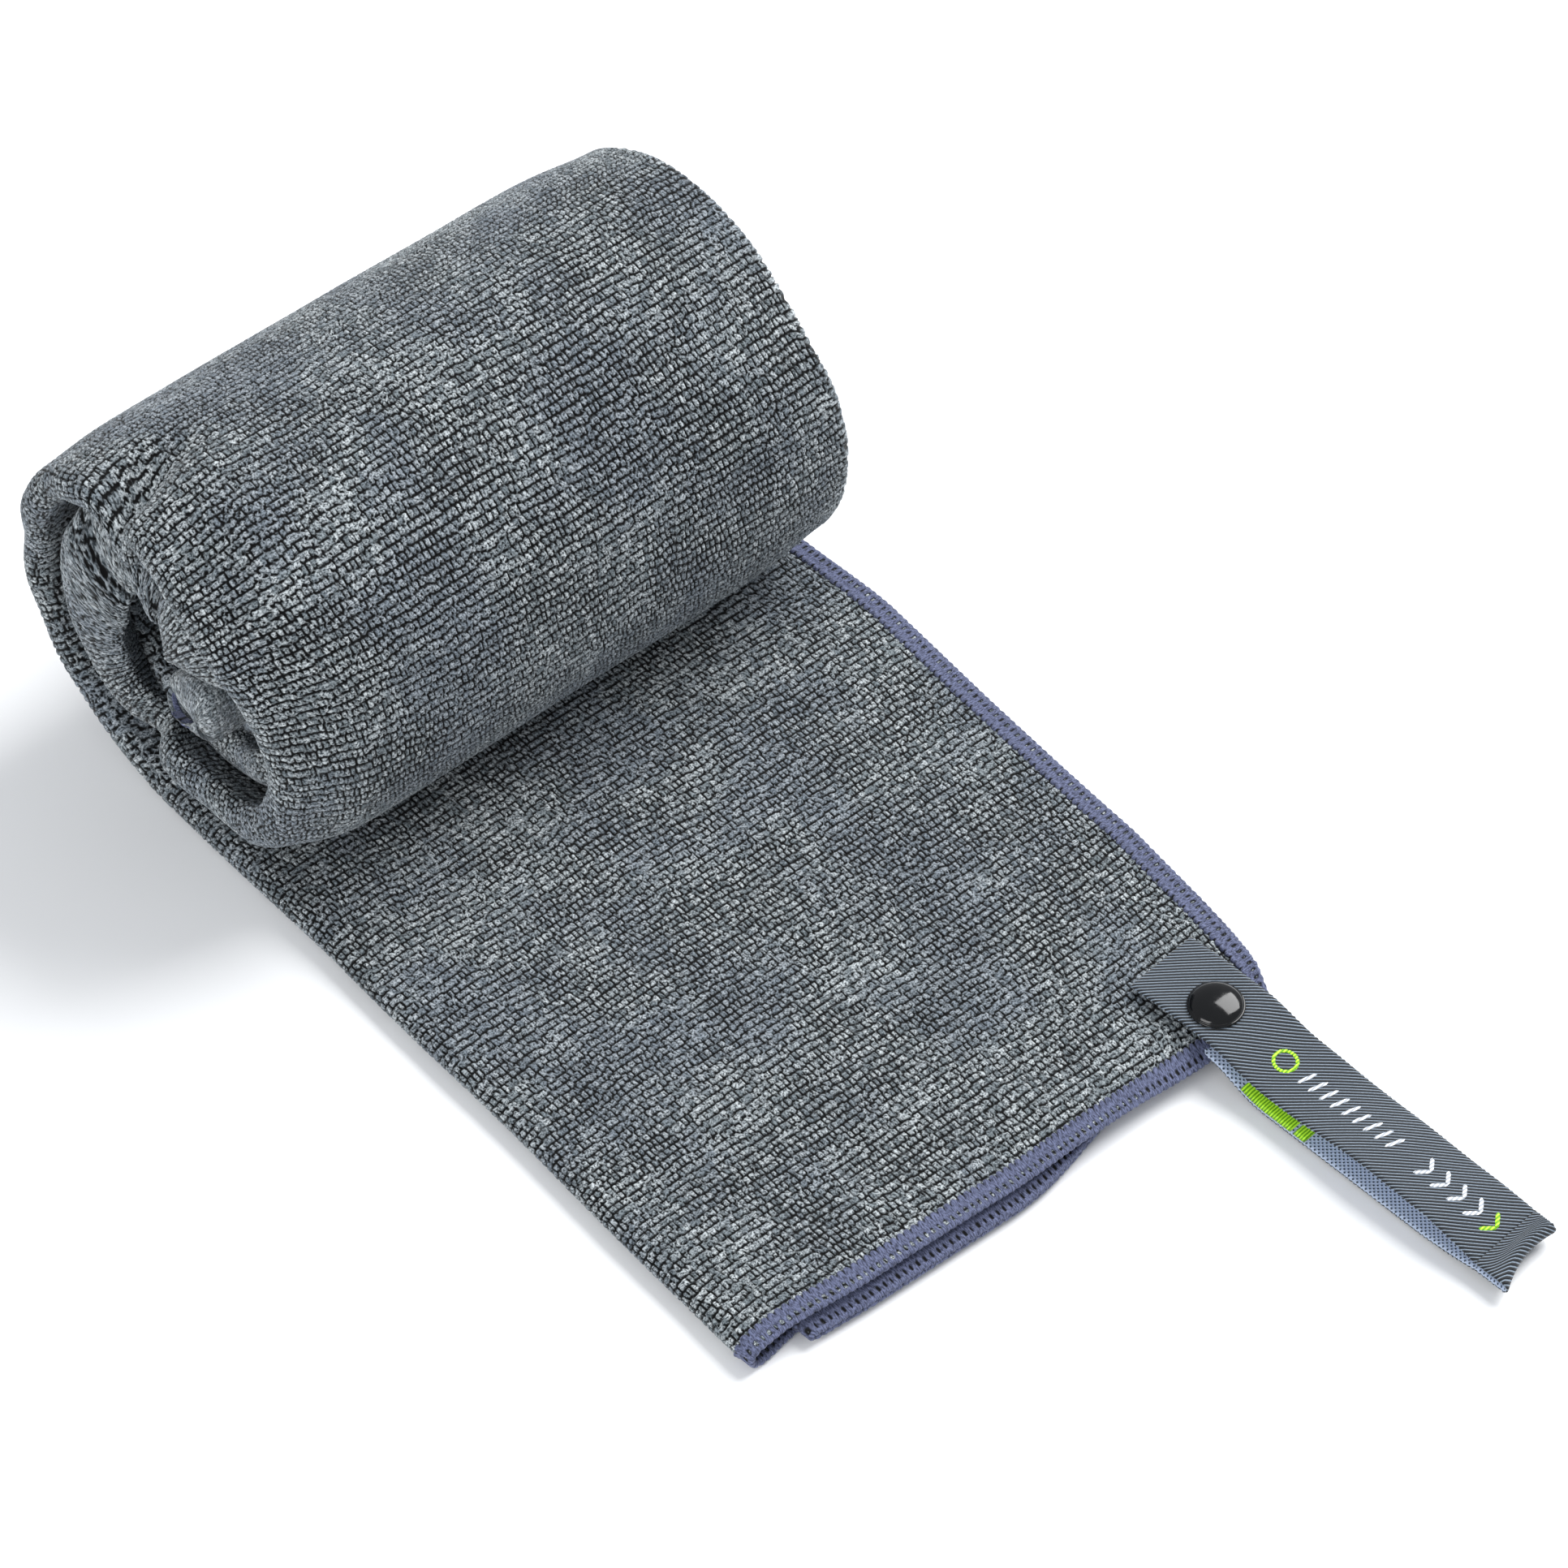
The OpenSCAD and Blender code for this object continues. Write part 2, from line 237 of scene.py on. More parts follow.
def ring_normals(points):
    """Unit normals of smooth rings of points: along the rows crossed with round each ring."""
    down = np.gradient(points, axis=0)
    over = np.roll(points, -1, axis=1) - np.roll(points, 1, axis=1)
    normal = np.cross(down, over)
    return normal / np.maximum(np.linalg.norm(normal, axis=2, keepdims=True), 1e-9)


def inward(points):
    """Whether a tube's faces would point into it."""
    k = points.shape[0] // 2
    normals = ring_normals(points[k - 1 : k + 2])[1]
    away = points[k] - points[k].mean(axis=0)
    return (normals * away).sum() <= 0


# ---- The stack's path: flat run, then a spiral of half turns ---------------------


def half_turn_r(i):
    """Outer radius of half turn i: back halves are even, front halves odd."""
    return ROLL_R - i * TURN_PITCH / 2


HALF_STARTS = RUN + np.concatenate(
    [[0], np.cumsum([math.pi * (half_turn_r(i) - STACK / 2) for i in range(HALF_TURNS + 1)])]
)


def turn_at(s):
    """How many half turns the stack has made at s, as a number with a fraction."""
    return np.interp(s, HALF_STARTS, np.arange(len(HALF_STARTS)))


def length_at(half):
    """The length s at which the stack has made so many half turns."""
    return np.interp(half, np.arange(len(HALF_STARTS)), HALF_STARTS)


def stack_path(s):
    """Point (x, z) on the stack's outer face at length s from the free end, and the outward normal."""
    s = np.asarray(s, float)
    half = turn_at(s)
    i = np.minimum(np.floor(half), HALF_TURNS)
    fraction = half - i
    front = np.mod(i, 2)
    angle = math.pi * (-0.5 + front - fraction)
    r = half_turn_r(i)
    x = AXIS_X + r * np.cos(angle)
    z = ROLL_R + front * TURN_PITCH / 2 + r * np.sin(angle)
    nx, nz = np.cos(angle), np.sin(angle)
    flat = s < RUN
    on_floor = (END_X - s, 0.0, 0.0, -1.0)
    return [np.where(flat, a, b) for a, b in zip(on_floor, (x, z, nx, nz))]


def place(s, y, depth):
    """Points of the stack: s along it, y across it, depth in from its outer face."""
    x, z, nx, nz = stack_path(s)
    return np.stack([x - nx * depth, np.broadcast_to(y, x.shape), z - nz * depth], -1)


# ---- Materials -------------------------------------------------------------------


def colour(code):
    """An sRGB hex colour as linear RGBA."""
    parts = [int(code[i : i + 2], 16) / 255 for i in (0, 2, 4)]
    return (*[c / 12.92 if c <= 0.04045 else ((c + 0.055) / 1.055) ** 2.4 for c in parts], 1.0)


def add(tree, kind, settings=None, **inputs):
    """Adds a node; settings are its properties, inputs are values or links by socket name."""
    node = tree.nodes.new("ShaderNode" + kind)
    for key, value in (settings or {}).items():
        setattr(node, key, value)
    for key, value in inputs.items():
        socket = node.inputs[int(key[1:]) if key[1:].isdigit() else key.replace("_", " ")]
        if isinstance(value, bpy.types.NodeSocket):
            tree.links.new(value, socket)
        else:
            socket.default_value = value
    return node


def new_material(name):
    """An empty material and its node tree."""
    material = bpy.data.materials.new(name)
    material.use_nodes = True
    material.node_tree.nodes.clear()
    return material, material.node_tree


def finish_material(tree, **inputs):
    """The surface shader, with its inputs, on the material's output."""
    shader = add(tree, "BsdfPrincipled", **inputs)
    output = tree.nodes.new("ShaderNodeOutputMaterial")
    tree.links.new(shader.outputs[0], output.inputs[0])


def blend_colours(tree, factor, first, second):
    """From the first colour at 0 to the second at 1."""
    node = add(tree, "Mix", {"data_type": "RGBA"})
    for socket, value in ((node.inputs[0], factor), (node.inputs[6], first), (node.inputs[7], second)):
        if isinstance(value, bpy.types.NodeSocket):
            tree.links.new(value, socket)
        else:
            socket.default_value = value
    return node.outputs[2]


def reshape(tree, value, low, high, to_low=0.0, to_high=1.0):
    """Maps low..high to to_low..to_high, smoothly and within its ends."""
    return add(tree, "MapRange", {"interpolation_type": "SMOOTHSTEP"}, _0=value, _1=low, _2=high,
               _3=to_low, _4=to_high).outputs[0]


def microfibre_terry():
    """Split polyester and nylon fibre in uncut loops: matt, grey, slightly blue loops, with painted shade,
    near black, in the gaps between them.
    """
    material, tree = new_material("microfibre_terry")
    pile = add(tree, "Attribute", {"attribute_name": "pile"}).outputs["Fac"]
    tone = add(tree, "Attribute", {"attribute_name": "tone"}).outputs["Fac"]
    place_map = add(tree, "UVMap").outputs[0]
    # Clouds of brushed and unbrushed pile, 30 mm across
    clouds = add(tree, "TexNoise", {"noise_dimensions": "2D"}, Vector=place_map, Scale=1 / 30,
                 Detail=3.0, Roughness=0.6).outputs[0]
    # Single threads, 0.5 mm, drawn about twice as coarse as the real ones
    threads = add(tree, "TexNoise", {"noise_dimensions": "2D"}, Vector=place_map, Scale=1 / 0.5,
                  Detail=3.0, Roughness=0.75).outputs[0]
    loops = blend_colours(tree, tone, colour("7B858A"), colour("C9D0D3"))
    loops = blend_colours(tree, reshape(tree, clouds, 0.38, 0.66, 0.0, 0.55), loops, colour("7B8593"))
    loops = blend_colours(tree, reshape(tree, threads, 0.36, 0.62), colour("2F363B"), loops)
    # Painted shade: where the pile is low, in the gaps between the loops, the colour goes near black and
    # lightens up each loop to its top
    shade = blend_colours(tree, reshape(tree, pile, 0.42, 0.98), colour("050607"), loops)
    bump = add(tree, "Bump", Strength=0.7, Distance=0.0003, Height=threads).outputs[0]
    finish_material(tree, Base_Color=shade, Roughness=0.95, Sheen_Weight=0.12, Sheen_Roughness=0.5,
                    Normal=bump, Specular_IOR_Level=0.2)
    return material


def overlock_thread():
    """Textured polyester thread, blue violet grey: ridges 0.3 mm apart, with painted shade, near black, in
    the holes between stitches.
    """
    material, tree = new_material("overlock_thread")
    groove_shade = add(tree, "Attribute", {"attribute_name": "groove_shade"}).outputs["Fac"]
    place_map = add(tree, "UVMap").outputs[0]
    stretched = add(tree, "Mapping", Vector=place_map, Scale=(1 / 0.32, 1 / 1.6, 1.0)).outputs[0]
    threads = add(tree, "TexNoise", {"noise_dimensions": "2D"}, Vector=stretched, Scale=1.0, Detail=3.0,
                  Roughness=0.65).outputs[0]
    shade = blend_colours(tree, reshape(tree, threads, 0.3, 0.7), colour("33374A"), colour("6C7392"))
    # Painted shade: the holes and crevices between stitches go near black
    shade = blend_colours(tree, reshape(tree, groove_shade, 0.12, 0.7), shade, colour("08090D"))
    bump = add(tree, "Bump", Strength=0.7, Distance=0.0003, Height=threads).outputs[0]
    finish_material(tree, Base_Color=shade, Roughness=0.8, Sheen_Weight=0.15, Sheen_Roughness=0.4,
                    Normal=bump, Specular_IOR_Level=0.25)
    return material


def diagonal(tree, place_map, degrees, pitch):
    """Soft stripes from 0 to 1, pitch millimetres apart, turned from the ribbon's length."""
    turned = add(tree, "Mapping", Vector=place_map, Rotation=(0, 0, math.radians(degrees))).outputs[0]
    return add(tree, "TexWave", Vector=turned, Scale=math.pi / 10 / pitch, Distortion=0.25, Detail=1.0,
               Detail_Scale=2.0).outputs["Fac"]


def ribbon_twill():
    """The ribbon's face: slate polyester with raised paler twill lines, 0.8 mm apart at 45 degrees."""
    material, tree = new_material("ribbon_twill")
    place_map = add(tree, "UVMap").outputs[0]
    lines = diagonal(tree, place_map, -45, 0.8)
    fine = add(tree, "TexNoise", {"noise_dimensions": "2D"}, Vector=place_map, Scale=1 / 0.35, Detail=2.0,
               Roughness=0.6).outputs[0]
    pale = blend_colours(tree, fine, colour("66727F"), colour("96A5B5"))
    shade = blend_colours(tree, reshape(tree, lines, 0.55, 1.0), colour("14181D"), pale)
    bump = add(tree, "Bump", Strength=0.8, Distance=0.0004, Height=lines).outputs[0]
    finish_material(tree, Base_Color=shade, Roughness=0.6, Sheen_Weight=0.2, Sheen_Roughness=0.4,
                    Normal=bump, Specular_IOR_Level=0.35)
    return material


def ribbon_reverse():
    """The ribbon's reverse: pale blue floats with a dark tie between them, 1.2 mm apart both ways."""
    material, tree = new_material("ribbon_reverse")
    place_map = add(tree, "UVMap").outputs[0]
    one = diagonal(tree, place_map, 45, 0.85)
    other = diagonal(tree, place_map, -45, 0.85)
    ties = add(tree, "Math", {"operation": "MULTIPLY"}, _0=one, _1=other).outputs[0]
    shade = blend_colours(tree, reshape(tree, ties, 0.3, 0.75), colour("B2C0D6"), colour("2C3745"))
    bump = add(tree, "Bump", Strength=0.7, Distance=-0.0003, Height=ties).outputs[0]
    finish_material(tree, Base_Color=shade, Roughness=0.5, Sheen_Weight=0.2, Sheen_Roughness=0.4,
                    Normal=bump, Specular_IOR_Level=0.4)
    return material


def satin_thread(name, dark, light):
    """Woven figures in satin floats across the ribbon, 0.7 mm apart."""
    material, tree = new_material(name)
    place_map = add(tree, "UVMap").outputs[0]
    floats = diagonal(tree, place_map, 0, 0.7)
    shade = blend_colours(tree, reshape(tree, floats, 0.1, 0.8), colour(dark), colour(light))
    bump = add(tree, "Bump", Strength=0.6, Distance=0.0002, Height=floats).outputs[0]
    finish_material(tree, Base_Color=shade, Roughness=0.45, Sheen_Weight=0.2, Sheen_Roughness=0.3,
                    Normal=bump, Specular_IOR_Level=0.4)
    return material


def black_acetal():
    """Glossy moulded black plastic with faint polishing marks."""
    material, tree = new_material("black_acetal")
    place_map = add(tree, "TexCoord").outputs["Object"]
    marks = add(tree, "TexNoise", Vector=place_map, Scale=900.0, Detail=3.0, Roughness=0.6).outputs[0]
    rough = reshape(tree, marks, 0.2, 0.9, 0.08, 0.2)
    finish_material(tree, Base_Color=colour("08090B"), Roughness=rough, Coat_Weight=0.2,
                    Coat_Roughness=0.06, Specular_IOR_Level=0.3)
    return material


TERRY = microfibre_terry()
THREAD = overlock_thread()
TWILL = ribbon_twill()
REVERSE = ribbon_reverse()
LIME = satin_thread("lime_satin", "62A400", "C4FF38")
WHITE = satin_thread("white_satin", "A9B0BA", "F4F6F8")
BLACK = black_acetal()

# ---- Towel cloth --------------------------------------------------------------------

CLOTH_W, CLOTH_L = 610.0, 1220.0
CLOTH_T = LAYER - AIR
INNER_SET_IN = 14.0  # the fold that lies inside is this far from the left fold
INNER_REACH = inner_high[0] - hem_high[0]  # how far the inner layers stick out at the free end
MID = (STACK - AIR) / 2
BIG_R = MID - CLOTH_T / 2
SMALL_R = LAYER / 2

# The cloth's width, from its upper long edge to its lower one: where each straight part starts
TOP_END = FOLD_W - MID
FOLD_END = TOP_END + math.pi * BIG_R
BOTTOM_END = FOLD_END + FOLD_W - MID - LAYER
RIGHT_FOLD_END = BOTTOM_END + math.pi * SMALL_R
THIRD_END = RIGHT_FOLD_END + FOLD_W - 2 * LAYER - INNER_SET_IN
INNER_FOLD_END = THIRD_END + math.pi * SMALL_R
WIDTH_END = INNER_FOLD_END + FOLD_W - LAYER - INNER_SET_IN


def fold_line(v):
    """The folded cloth's middle line: y, depth and the unit normal (ny, nd) at width v.

    The normal points out of the face that is outermost on the top layer.
    """
    v = np.asarray(v, float)
    low, high = CLOTH_T / 2, STACK - AIR - CLOTH_T / 2
    big = (v - TOP_END) / BIG_R
    small = (v - BOTTOM_END) / SMALL_R
    inner = (v - THIRD_END) / SMALL_R
    zero = 0 * v
    parts = [
        (v < TOP_END, RIGHT_Y - v, high + zero, zero, 1 + zero),
        (v < FOLD_END, LEFT_Y + MID - BIG_R * np.sin(big), MID + BIG_R * np.cos(big),
         -np.sin(big), np.cos(big)),
        (v < BOTTOM_END, LEFT_Y + MID + v - FOLD_END, low + zero, zero, zero - 1),
        (v < RIGHT_FOLD_END, RIGHT_Y - LAYER + SMALL_R * np.sin(small), low + SMALL_R * (1 - np.cos(small)),
         np.sin(small), -np.cos(small)),
        (v < THIRD_END, RIGHT_Y - LAYER - (v - RIGHT_FOLD_END), low + LAYER + zero, zero, 1 + zero),
        (v < INNER_FOLD_END, LEFT_Y + INNER_SET_IN + LAYER - SMALL_R * np.sin(inner),
         low + LAYER + SMALL_R * (1 - np.cos(inner)), np.sin(inner), np.cos(inner)),
        (v == v, LEFT_Y + INNER_SET_IN + LAYER + v - INNER_FOLD_END, low + 2 * LAYER + zero, zero, zero - 1),
    ]
    out = []
    for k in range(1, 5):
        value = parts[-1][k]
        for part in parts[-2::-1]:
            value = np.where(part[0], part[k], value)
        out.append(value)
    return out


def widths(*stretches):
    """Places across the cloth from (start, end, step) stretches that follow on from each other."""
    out = [np.array([stretches[0][0]])]
    for start, end, step in stretches:
        out.append(np.linspace(start, end, max(2, round((end - start) / step) + 1))[1:])
    return np.concatenate(out)


def cloth_point(s, v, side, shift):
    """Points of the cloth: s along it, v across it, side +1 or -1 for its two faces, 0 for its middle."""
    y, depth, ny, nd = fold_line(v)
    thick = CLOTH_T / 2 * (0.55 + 0.45 * ramp(np.minimum(np.minimum(v, WIDTH_END - v), s), 3.5, 5.5))
    half = side * thick
    forward, up = pulled_out(s, y)
    s, y, depth = shift(s, v, y + ny * half, depth + nd * half)
    points = place(s, y, depth)
    points[..., 0] += forward
    points[..., 2] += up
    return points


def pile_share(s, v):
    """1 where the pile stands, 0 under the stitching of the hems."""
    edge = np.minimum(np.minimum(v, WIDTH_END - v), np.minimum(s, CLOTH_L - s))
    return ramp(edge, HEM_W - 0.8, HEM_W + 0.8)


STILL = 45  # the loops stay where they are this far from the left fold
SMOOTHED_ROWS = 25


def cloth_stretch(name, s_values, front_v, back_v, shift):
    """A stretch of the folded cloth as one closed sheet, with its pile on the front face."""
    count_front = len(front_v)
    s = s_values[:, None]
    front = cloth_point(s + 0 * front_v, front_v + 0 * s, 1.0, shift)
    back = cloth_point(s + 0 * back_v, back_v + 0 * s, -1.0, shift)
    ring = np.concatenate([front, back[:, ::-1]], axis=1)
    across = np.concatenate([front_v, back_v[::-1]]) + 0 * s
    along = s + 0 * across
    # The back has no loops; its numbers are those of the middle of a loop
    height, tone = np.full(along.shape, 0.6), np.full(along.shape, 0.5)
    fine = slice(0, count_front)
    height[:, fine], tone[:, fine] = terry(along[:, fine], front_v + stretched_by(front, front_v), SEED)
    # The innermost turn's pile is pulled flat
    height += (0.88 - height) * 0.6 * ramp(turn_at(along), 10.2, 10.8)
    share = pile_share(along, across)
    share[:, count_front:] = 0
    rise = PILE * share * (height - PILE_MEAN)
    points = ring + ring_normals(ring) * rise[:, :, None]
    obj = closed_tube(name, points, rim_triangles(front_v, back_v), TERRY)
    # The loops' height also sets the painted shade in the gaps between them
    set_values(obj, "pile", height)
    set_values(obj, "tone", tone)
    set_uv(obj, along, across)
    finish_mesh(obj)
    return obj


def stretched_by(points, front_v):
    """How much longer the shaped face is than the plain fold, so that its loops keep their size."""
    step = np.linalg.norm(np.diff(points, axis=1, prepend=points[:, :1]), axis=2)
    run = np.cumsum(step, axis=1)
    anchor = np.searchsorted(front_v, TOP_END - STILL)
    grown = run - run[:, anchor : anchor + 1] - (front_v - front_v[anchor])
    half = SMOOTHED_ROWS // 2
    padded = np.pad(grown, ((half, half), (0, 0)), "edge").cumsum(axis=0)
    before = np.concatenate([0 * padded[:1], padded[:-SMOOTHED_ROWS]])
    return (padded[SMOOTHED_ROWS - 1 :] - before) / SMOOTHED_ROWS


def rim_triangles(front_v, back_v):
    """Triangles that close the cloth's thickness at the end of a stretch."""
    columns_f, columns_b = len(front_v), len(back_v)
    out = []
    i = j = 0
    while i < columns_f - 1 or j < columns_b - 1:
        a, b = i, columns_f + columns_b - 1 - j
        if j == columns_b - 1 or (i < columns_f - 1 and front_v[i + 1] <= back_v[j + 1]):
            out.append((a, a + 1, b))
            i += 1
        else:
            out.append((a, b - 1, b))
            j += 1
    return np.array(out)


def spread(start, end, step):
    """Places from start to end, about step apart."""
    return np.linspace(start, end, max(2, round((end - start) / step) + 1))


# Flat run: how far its right edge lies outside the fold's width, against distance from the free end
EDGE_AT = [0, 4, 10, 20, 31, 54, 77, 101, 137, 154, 200]
EDGE_OUT = [-6.2, -5.2, -2.5, -1.3, -0.3, 1.0, 1.2, 1.6, 2.9, 2.6, 0.0]
# How far the front edge lies past the free end, against distance from the left fold
FRONT_AT = [0, 10, 30, 50, 70, 90, 110, 120, 128, 136, 152]
FRONT_OUT = [-0.1, -0.6, 1.0, 1.7, 2.4, 2.5, 2.5, 2.8, 3.0, 3.0, 0.5]


def flat_shift(s, v, y, depth):
    """The flat run's edges curve, its layers settle and its top face is gently uneven."""
    across = (y - LEFT_Y) / FOLD_W
    inner_ply = ramp(v, BOTTOM_END - 60, RIGHT_FOLD_END + 30)
    bottom = ramp(v, FOLD_END, FOLD_END + 25) * ramp(v, BOTTOM_END, BOTTOM_END - 30)
    near_front = ramp(s, 26, 0)
    out = np.interp(y - LEFT_Y, FRONT_AT, FRONT_OUT)
    reach = near_front * (out + INNER_REACH * inner_ply * ramp(across, 0.8, 0.5) - 4 * bottom
                          - inner_ply * (0.8 + 3.5 * ramp(across, 0.45, 0.7)))
    edge = np.interp(s, EDGE_AT, EDGE_OUT) * ramp(across, 0.35, 1.0) + 0.9 * ramp(across, 0.35, 0.0)
    second = 1.4 * ramp(v, WIDTH_END - 30, WIDTH_END - 6) * ramp(s, 1, 12)
    upper = ramp(depth, STACK * 0.35, STACK)
    thin = 1.1 * ramp(across, 0.12, 0.0) * upper
    left_part = ramp(across, 0.8, 0.6)
    drop = 2.4 * inner_ply * left_part - 0.7 * ramp(depth, STACK * 0.7, STACK) * left_part
    sag = (ramp(s, 9, 0) * 1.2 * ramp(across, 0.68, 0.86) + near_front * drop) * depth / STACK
    wave = 0.55 * noise(s / 26, y / 21, 51) + 0.35 * noise(s / 11, y / 16, 52)
    lift = wave * upper * ramp(s, 168, 140)
    under = ramp(s, RUN - 62, RUN - 40)
    bow = 0.5 * noise(s / 40, 0, 53) * ramp(across, 0.3, 0.0) * (1 - under)
    return s - reach, y + edge + second + bow, depth - thin - sag + lift


# Shape of the roll's left end against the half turn: how far each fold is set back from the end,
RECESS_AT = [0, 0.3, 0.7, 0.9, 1.03, 1.15, 1.3, 1.45, 1.55, 1.75, 2.0, 2.25, 2.5, 2.75, 2.95, 3.08, 3.22,
             3.38, 3.5, 3.75, 4.0, 4.4, 6, 8, 9.4, 10.2, 10.6, 11, 11.3, 11.6]
RECESS = [0, -1.5, -3, -3, -3.5, -5, -3.5, 0, 0.5, 0, 0.5, 0, -2.5, 0, 1, -3, -6,
          -1, 6, 7, 9, 9, 15, 16, 12, 2, -4, -6, -6.5, -5]
# how far the stack leans in towards the axis there,
LEAN_AT = [0, 0.4, 0.85, 1.0, 1.1, 1.4, 1.6, 2.0, 2.5, 3.0, 4.0, 6.0]
LEAN = [0, 0.5, 1.5, 5, 9, 8, 6, 4, 6, 9, 6, 2]
# the half turn, width and depth of the creases in the folds,
CREASES = [(2.1, 5, 4), (2.7, 4, 7), (3.0, 4.5, 12), (3.42, 5, 8)]
# how far the front sags outwards, all along,
SAG_AT = [0, 1.2, 1.45, 1.6, 1.7, 1.8, 1.87, 1.92, 2.0, 12]
SAG = [0, 0, 1.5, 4.5, 6, 5.5, 3, 1.2, 0, 0]
# and how much thicker the stack is at its fold
SWELL_AT = [0, 1.0, 1.5, 1.75, 2.1, 2.3, 2.55, 2.8, 2.95, 3.06, 3.2, 3.35, 3.5, 4.0, 10.2, 10.7, 12]
SWELL = [0, 0.15, 0.2, 0.5, 0.8, 1.9, 2.6, 1.9, 0.8, 1.2, 2.0, 1.4, 0.2, 0.4, 0.2, 1.3, 1.5]
# How far the roll's right edge is drawn in
DRAWN_AT = [0, 0.6, 0.8, 1.3, 1.5, 2.0]
DRAWN = [0.8, 1.0, 2.8, 2.6, 0.2, 0.6]
# The half turns at which the left end is pinched in towards the axis, and how wide and deep the pinch is
PINCHES, PINCH_WIDE, PINCH_DEEP = (0.915, 2.915), 5.0, 11.0


def roll_shift(s, v, y, depth):
    """The rolled stack's folds wander, swell and round over at both ends."""
    half = turn_at(s)
    away = ramp(half, 0.0, 0.5)
    fold = ramp(y, LEFT_Y + 20, LEFT_Y)
    wander = 1.1 * noise(s / 15, 1, 40) * away
    near_end = ramp(y, LEFT_Y + 28, LEFT_Y)
    pinch = PINCH_DEEP * sum(bell(s - length_at(h), PINCH_WIDE) for h in PINCHES) * near_end
    creases = sum(deep * bell(s - length_at(h), wide) for h, wide, deep in CREASES) * near_end
    left = ramp(y, LEFT_Y + 42, LEFT_Y - 1)
    right = ramp(y, RIGHT_Y - 40, RIGHT_Y)
    outermost = ramp(half, 2.4, 1.6)
    moved = y + left * (np.interp(half, RECESS_AT, RECESS) + wander) + creases
    at_left = ramp(moved, LEFT_Y + 30, LEFT_Y - 1)
    lean = np.interp(half, LEAN_AT, LEAN) * at_left ** 3 + 2.0 * right ** 3 * away * outermost
    swell = np.interp(half, SWELL_AT, SWELL) * fold
    uneven = (0.8 * noise(s / 30, y / 36, 42) + 1.0 * noise(s / 13, 5, 43) * fold) * away
    uneven = uneven * (0.35 + 0.65 * outermost)
    moved = moved - right * (np.interp(half, DRAWN_AT, DRAWN) + 0.8 * noise(s / 21, 3, 41)) * away
    return s, moved, depth * (1 + swell) + lean + uneven + pinch - np.interp(half, SAG_AT, SAG)


def pulled_out(s, y):
    """How far forward and up the innermost turn is pulled out of the roll's middle at its left end."""
    half = turn_at(s)
    left = ramp(y, LEFT_Y + 50, LEFT_Y + 4)
    out, end = ramp(half, 9.8, 10.8), ramp(half, 10.95, 11.6)
    return (21 * out - 9 * end) * left, (0.8 * out - 5 * end) * left


# Places across the cloth's two faces: close together where the pile shows, far apart where it is hidden
HIDDEN = 14.0  # step where the cloth is hidden
UNDER_RIGHT = (RIGHT_FOLD_END + 3, THIRD_END - 2, HIDDEN)
UNDER_INNER = (INNER_FOLD_END + 2, WIDTH_END - 12, HIDDEN)
FLAT_FRONT = widths((0.8, TOP_END, 0.38), (TOP_END, FOLD_END, 0.3), (FOLD_END, FOLD_END + 10, 0.8),
                    (FOLD_END + 10, BOTTOM_END - 10, HIDDEN), (BOTTOM_END - 10, RIGHT_FOLD_END + 3, 0.7),
                    UNDER_RIGHT, (THIRD_END - 2, INNER_FOLD_END + 2, 0.7), UNDER_INNER,
                    (WIDTH_END - 12, WIDTH_END - 0.8, 0.8))
BACK = widths((0.8, 6, 1.5), (6, TOP_END, HIDDEN), (TOP_END, FOLD_END, 1.5), (FOLD_END, BOTTOM_END, HIDDEN),
              (BOTTOM_END, RIGHT_FOLD_END, 0.9), (RIGHT_FOLD_END, THIRD_END, HIDDEN),
              (THIRD_END, INNER_FOLD_END, 0.7), (INNER_FOLD_END, WIDTH_END - 6, HIDDEN),
              (WIDTH_END - 6, WIDTH_END - 0.8, 1.5))


def roll_front(step, fold_step, fine, outer_step=None):
    """Places across the rolled cloth's front face: fine at the left fold.

    With outer_step they are that close on all of the outer layer too.
    """
    if outer_step:
        outer = [(FOLD_END, BOTTOM_END, outer_step)]
    else:
        outer = [(FOLD_END, FOLD_END + fine, step), (FOLD_END + fine, BOTTOM_END, HIDDEN)]
    return widths((0.8, 12, 0.8), (12, TOP_END - fine, HIDDEN), (TOP_END - fine, TOP_END, step),
                  (TOP_END, FOLD_END, fold_step), *outer, (BOTTOM_END, RIGHT_FOLD_END + 3, 0.5), UNDER_RIGHT,
                  (THIRD_END - 2, INNER_FOLD_END + 2, 0.7), UNDER_INNER,
                  (WIDTH_END - 12, WIDTH_END - 0.8, 0.8))


def flat_to_roll(s, v, y, depth):
    """The flat run's shape, changing into the roll's under the roll."""
    a = flat_shift(s, v, y, depth)
    b = roll_shift(s, v, y, depth)
    t = ramp(s, RUN - 55, RUN - 4)
    return tuple(p + (q - p) * t for p, q in zip(a, b))


SEEN, BEHIND = roll_front(0.7, 0.24, 30, 0.38), roll_front(0.7, 0.36, 30, 0.5)
INSIDE, DEEPER = roll_front(0.45, 0.24, 18), roll_front(0.8, 0.4, 12)
LAST_HALF = turn_at(CLOTH_L - 0.8)
# Stretches of the flat run: name, where it starts and ends, step along it, its shape
FLAT = [("flat_cloth_front", 0.8, 74, 0.44, flat_shift), ("flat_cloth_middle", 74, 134, 0.44, flat_to_roll),
        ("flat_cloth_back", 134, RUN, 0.48, flat_to_roll)]
